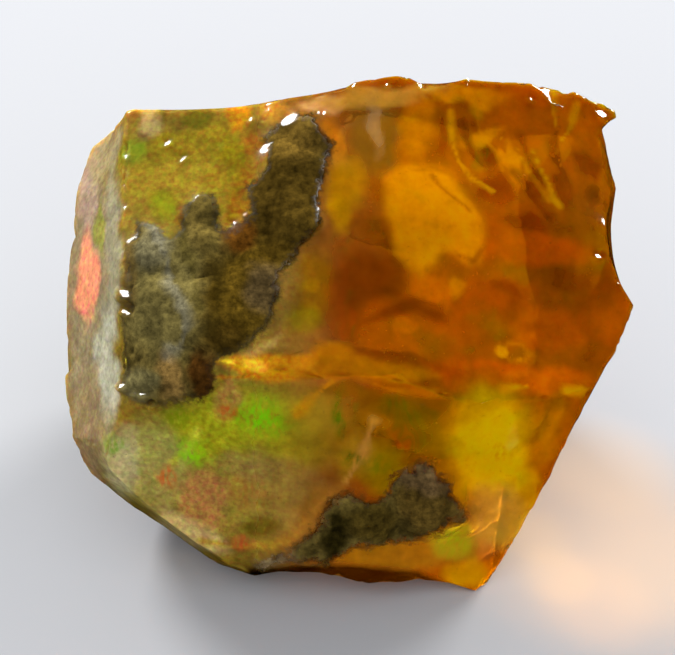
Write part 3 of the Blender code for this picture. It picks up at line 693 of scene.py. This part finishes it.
def opalMaterial():
    material = bpy.data.materials.new("wet broken opal with tuff")
    material.use_nodes = True
    tree = material.node_tree
    tree.nodes.clear()
    spot = addNode(tree, "ShaderNodeTexCoord").outputs["Object"]
    colours = {name: addNode(tree, "ShaderNodeAttribute", {"attribute_name": name}).outputs["Color"]
               for name in ("opalColour", "rockColour", "fireColour")}
    amounts = {name: addNode(tree, "ShaderNodeAttribute", {"attribute_name": name}).outputs["Fac"]
               for name in ("hostRock", "milkiness", "fire", "wet", "dryness", "ribbing")}
    milk, dryness = amounts["milkiness"], amounts["dryness"]

    # rock, whose outline breaks up grain by grain
    grain = addNode(tree, "ShaderNodeTexNoise", values={
        "Scale": 1 / (finish["rock grain"] * mm), "Detail": 5, "Roughness": finish["grain contrast"]},
        links={"Vector": spot}).outputs["Fac"]
    fraying = finish["rock fraying"]
    frayed = addNode(tree, "ShaderNodeMath", {"operation": "MULTIPLY_ADD"}, {
        1: fraying, 2: -fraying / 2}, {0: grain})
    rockEdge = addNode(tree, "ShaderNodeMath", {"operation": "ADD"}, links={
        0: amounts["hostRock"], 1: frayed.outputs[0]}).outputs[0]
    isRock, rockTint = (addNode(tree, "ShaderNodeMapRange", values={1: low, 2: high}, links={
        0: rockEdge}).outputs[0] for low, high in (finish["rock edge"], finish["rock tint edge"]))
    low, high = finish["grain span"]
    grainLight = addNode(tree, "ShaderNodeMapRange", values={
        1: low, 2: high, 3: finish["rock light"][0], 4: finish["rock light"][1]}, links={0: grain})
    rockColour = addNode(tree, "ShaderNodeVectorMath", {"operation": "SCALE"}, links={
        0: colours["rockColour"], "Scale": grainLight.outputs[0]})

    # opal: clouds and a fine mottle
    low, high = finish["noise span"]
    cloud = addNode(tree, "ShaderNodeTexNoise", values={
        "Scale": 1 / (finish["cloud length"] * mm), "Detail": 3}, links={"Vector": spot})
    cloudLight = addNode(tree, "ShaderNodeMapRange", values={
        1: low, 2: high, 3: finish["cloud"][0], 4: finish["cloud"][1]}, links={0: cloud.outputs["Fac"]})
    clouded = addNode(tree, "ShaderNodeVectorMath", {"operation": "SCALE"}, links={
        0: colours["opalColour"], "Scale": cloudLight.outputs[0]}).outputs[0]
    mottle = addNode(tree, "ShaderNodeTexNoise", values={
        "Scale": 1 / (finish["mottle length"] * mm), "Detail": 2}, links={"Vector": spot})
    mottleParts = addNode(tree, "ShaderNodeSeparateColor", links={"Color": mottle.outputs["Color"]})
    hue, value = (addNode(tree, "ShaderNodeMapRange", values={
        1: low, 2: high, 3: least, 4: most}, links={0: mottleParts.outputs[part]}).outputs[0]
        for part, (least, most) in enumerate((finish["mottle hue"], finish["mottle value"])))
    mottled = addNode(tree, "ShaderNodeHueSaturation", links={
        "Hue": hue, "Value": value, "Color": clouded})

    # streaks everywhere, and the ribs of the flake scar at the upper right
    fibre = addNode(tree, "ShaderNodeMapping", {"vector_type": "TEXTURE"}, {
        "Rotation": finish["streak turn"], "Scale": finish["streak stretch"]}, {"Vector": spot})
    streak = addNode(tree, "ShaderNodeTexNoise", values={
        "Scale": 1 / (finish["streak length"] * mm), "Detail": 3}, links={"Vector": fibre.outputs[0]})
    streakLight = addNode(tree, "ShaderNodeMapRange", values={
        1: low, 2: high, 3: finish["streak"][0], 4: finish["streak"][1]}, links={
        0: streak.outputs["Fac"]})
    centred = addNode(tree, "ShaderNodeMapping", values={
        "Location": [-c * mm for c in finish["rib centre"]]}, links={"Vector": spot})
    ribs = addNode(tree, "ShaderNodeTexWave", {"wave_type": "RINGS", "rings_direction": "SPHERICAL"}, {
        "Scale": finish["rings apart"] / (finish["rib spacing"] * mm), "Distortion": finish["rib sway"],
        "Detail": 2, "Detail Scale": finish["rib sway scale"]}, {"Vector": centred.outputs[0]})
    ribLight = addNode(tree, "ShaderNodeMapRange", values={
        1: finish["rib width"][0], 2: finish["rib width"][1], 3: finish["rib"][0], 4: finish["rib"][1]},
        links={0: ribs.outputs["Fac"]})
    ribbed = addNode(tree, "ShaderNodeMix", {"data_type": "FLOAT"}, {2: 1.0}, {
        0: amounts["ribbing"], 3: ribLight.outputs[0]})
    drawn = addNode(tree, "ShaderNodeMath", {"operation": "MULTIPLY"}, links={
        0: streakLight.outputs[0], 1: ribbed.outputs[0]})
    streaked = addNode(tree, "ShaderNodeVectorMath", {"operation": "SCALE"}, links={
        0: mottled.outputs[0], "Scale": drawn.outputs[0]})
    lifted = addNode(tree, "ShaderNodeGamma", values={"Gamma": finish["clear lift"]}, links={
        "Color": clouded})
    tinted = addNode(tree, "ShaderNodeVectorMath", {"operation": "MULTIPLY"}, {
        1: finish["clear tint"]}, {0: lifted.outputs[0]})
    textured = addNode(tree, "ShaderNodeMix", {"data_type": "RGBA"}, links={
        0: milk, 6: tinted.outputs[0], 7: streaked.outputs[0]})

    # the play of colour, in leaning sheaves
    leaning = addNode(tree, "ShaderNodeMapping", {"vector_type": "TEXTURE"}, {
        "Rotation": finish["sheaf turn"], "Scale": finish["sheaf stretch"]}, {"Vector": spot})
    sheaf = addNode(tree, "ShaderNodeTexNoise", values={
        "Scale": 1 / (finish["sheaf length"] * mm), "Detail": 2}, links={"Vector": leaning.outputs[0]})
    flicker = addNode(tree, "ShaderNodeMapRange", values={
        1: finish["sheaf"][0], 2: finish["sheaf"][1]}, links={0: sheaf.outputs["Fac"]})
    fire = addNode(tree, "ShaderNodeMath", {"operation": "MULTIPLY"}, links={
        0: amounts["fire"], 1: flicker.outputs[0]})
    lit = addNode(tree, "ShaderNodeMix", {"data_type": "RGBA"}, links={
        0: fire.outputs[0], 6: textured.outputs[2], 7: colours["fireColour"]})
    colour = addNode(tree, "ShaderNodeMix", {"data_type": "RGBA"}, links={
        0: rockTint, 6: lit.outputs[2], 7: rockColour.outputs[0]})

    # how clear, how rough and how wet each place is
    clear, milky, wet, dry = (finish[state] for state in ("clear", "milky", "wet", "drier back"))
    seeThrough = addNode(tree, "ShaderNodeMapRange", values={
        3: clear["see through"], 4: milky["see through"]}, links={0: milk})
    notRock = addNode(tree, "ShaderNodeMath", {"operation": "SUBTRACT"}, {0: 1.0}, {1: isRock})
    transmission = addNode(tree, "ShaderNodeMath", {"operation": "MULTIPLY"}, links={
        0: seeThrough.outputs[0], 1: notRock.outputs[0]})
    clearRoughness = addNode(tree, "ShaderNodeMapRange", values={
        3: clear["roughness"], 4: dry["roughness"]}, links={0: dryness})
    opalRoughness = addNode(tree, "ShaderNodeMapRange", values={4: milky["roughness"]}, links={
        0: milk, 3: clearRoughness.outputs[0]})
    roughness = addNode(tree, "ShaderNodeMix", {"data_type": "FLOAT"}, {3: finish["rock roughness"]}, {
        0: isRock, 2: opalRoughness.outputs[0]})
    water, dullness = (addNode(tree, "ShaderNodeMapRange", values={
        3: wet[part], 4: dry[part]}, links={0: dryness}).outputs[0] for part in ("coat", "roughness"))
    coat = addNode(tree, "ShaderNodeMix", {"data_type": "FLOAT"}, links={
        0: rockTint, 2: water, 3: amounts["wet"]})
    bodyGloss = addNode(tree, "ShaderNodeMapRange", values={3: wet["body gloss"], 4: 0.0}, links={
        0: rockTint})
    roughHeight = addNode(tree, "ShaderNodeMath", {"operation": "MULTIPLY"}, links={
        0: grain, 1: isRock})
    bump = addNode(tree, "ShaderNodeBump", values={
        "Strength": finish["rock bump"], "Distance": finish["rock bump height"] * mm}, links={
        "Height": roughHeight.outputs[0]})
    scatter = addNode(tree, "ShaderNodeMapRange", values={3: finish["scatter"], 4: 0.0}, links={
        0: isRock})
    shader = addNode(tree, "ShaderNodeBsdfPrincipled", values={
        "IOR": finish["refraction"],
        "Subsurface Scale": finish["scatter length"] * mm, "Subsurface Radius": finish["scatter reach"],
        "Coat IOR": wet["refraction"]}, links={
        "Base Color": colour.outputs[2],
        "Roughness": roughness.outputs[0],
        "Transmission Weight": transmission.outputs[0],
        "Specular IOR Level": bodyGloss.outputs[0],
        "Coat Weight": coat.outputs[0],
        "Coat Roughness": dullness,
        "Subsurface Weight": scatter.outputs[0],
        "Normal": bump.outputs[0]})
    body = addNode(tree, "ShaderNodeVolumeAbsorption", values={
        "Color": (*finish["body colour"], 1), "Density": finish["body density"]})
    addNode(tree, "ShaderNodeOutputMaterial", links={
        "Surface": shader.outputs[0], "Volume": body.outputs[0]})
    return material


def makeStone():
    mesh = divided(stoneMesh())
    relief(mesh)
    mesh.shade_smooth()
    mesh.materials.clear()
    mesh.materials.append(opalMaterial())
    stone = bpy.data.objects.new("opalStone", mesh)
    scene.collection.objects.link(stone)
    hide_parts("opal")
    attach(stone, "root")
    triangles = sum(len(p.vertices) - 2 for p in mesh.polygons)
    print("stone:", len(mesh.vertices), "vertices,", triangles, "triangles")


makeStone()

# Floor: a wide sheet of matt white paper, a hair below the stone
floor = {"size": 1.2, "drop": 0.00003, "colour": "#909194", "roughness": 0.9}


def makeFloor():
    bm = bmesh.new()
    bmesh.ops.create_grid(bm, x_segments=1, y_segments=1, size=floor["size"] / 2)
    bmesh.ops.translate(bm, verts=bm.verts, vec=(0, 0, -floor["drop"]))
    mesh = bpy.data.meshes.new("paperFloor")
    bm.to_mesh(mesh)
    bm.free()
    material = bpy.data.materials.new("matt white paper")
    material.use_nodes = True
    shader = material.node_tree.nodes["Principled BSDF"]
    shader.inputs["Base Color"].default_value = (*linearColour(floor["colour"]), 1)
    shader.inputs["Roughness"].default_value = floor["roughness"]
    mesh.materials.append(material)
    paper = bpy.data.objects.new("paperFloor", mesh)
    paper.visible_glossy = False  # as through a polarising filter, so the wet stone isn't veiled
    scene.collection.objects.link(paper)
    print("floor made")


makeFloor()

# Camera: a long lens, looking down at the survey's angle at the middle of the photograph's frame
view = {"lens": 150, "sensor": 36, "distance": 99.6, "across": -0.23, "up": 0.30, "clip": (0.001, 10)}


def makeCamera():
    data = bpy.data.cameras.new("camera")
    data.lens = view["lens"]
    data.sensor_width = view["sensor"]
    data.clip_start, data.clip_end = view["clip"]
    camera = bpy.data.objects.new("camera", data)
    camera.location = fromSurvey(view["across"], view["up"], view["distance"])
    camera.rotation_euler = (math.pi / 2 - survey["tilt"], 0, 0)
    scene.collection.objects.link(camera)
    scene.camera = camera
    print("camera made")


makeCamera()

# Light: two soft windows behind, as (direction, metres away, size, watts), aimed so many mm above
# the origin. Then what the clear side throws on the paper beside it, as (aimed at, seen from, width
# in degrees, colour, watts), and the even light of the room.
light = {
    "windows": {
        "window, back left": ((-0.50, 0.62, 0.50), 0.30, 0.11, 1.36),
        "window, back right": ((0.60, 0.62, 0.42), 0.30, 0.11, 1.2),
    },
    "aimHeight": 6,
    "thrown": {
        "pool": ((9.4, -4.6, 0), (34, -30, 52), 11.0, "#FFB000", 0.17),
        "pool, far": ((9.6, -0.9, 0), (40, -24, 50), 5.0, "#FFB820", 0.07),
        "pool, right": ((11.4, -5.6, 0), (38, -30, 50), 6.5, "#FFB420", 0.08),
        "pool, near side": ((8.8, -7.3, 0), (32, -36, 52), 4.2, "#FFA400", 0.08),
        "streak by the stone": ((6.9, -4.4, 0), (30, -34, 50), 2.6, "#FFB800", 0.07),
        "streak in the pool": ((7.5, -6.2, 0), (32, -34, 50), 2.8, "#FFB400", 0.10),
    },
    "spotSoftness": 1.0,
    "spotSource": 0.3,
    "roomColour": "#F4F5F7",
    "roomStrength": 1.52,
}


def hangLamp(data, place, way):
    # hangs a lamp at its place, shining against the way
    lamp = bpy.data.objects.new(data.name, data)
    lamp.location = place
    lamp.rotation_euler = way.to_track_quat("Z", "Y").to_euler()
    scene.collection.objects.link(lamp)


def makeLights():
    for name, (direction, distance, size, watts) in light["windows"].items():
        data = bpy.data.lights.new(name, "AREA")
        data.shape = "DISK"
        data.size = size
        data.energy = watts
        way = Vector(direction).normalized()
        hangLamp(data, way * distance + Vector((0, 0, light["aimHeight"] * mm)), way)
    for name, (target, source, width, colour, watts) in light["thrown"].items():
        data = bpy.data.lights.new(name, "SPOT")
        data.spot_size = math.radians(width)
        data.spot_blend = light["spotSoftness"]
        data.shadow_soft_size = light["spotSource"] * mm
        data.color = linearColour(colour)
        data.energy = watts
        hangLamp(data, Vector(source) * mm, Vector(source) - Vector(target))
    world = bpy.data.worlds.new("room")
    world.use_nodes = True
    glow = world.node_tree.nodes["Background"]
    glow.inputs["Color"].default_value = (*linearColour(light["roomColour"]), 1)
    glow.inputs["Strength"].default_value = light["roomStrength"]
    world.cycles_visibility.glossy = False  # the room reflects as dark, so the wet stone isn't veiled
    scene.world = world
    print("lights made")


makeLights()

scene.view_settings.view_transform = "Standard"
scene.cycles.max_bounces = 16
scene.cycles.transmission_bounces = 14
scene.cycles.use_denoising = True
scene.cycles.sample_clamp_indirect = 8
scene.cycles.blur_glossy = 0.5
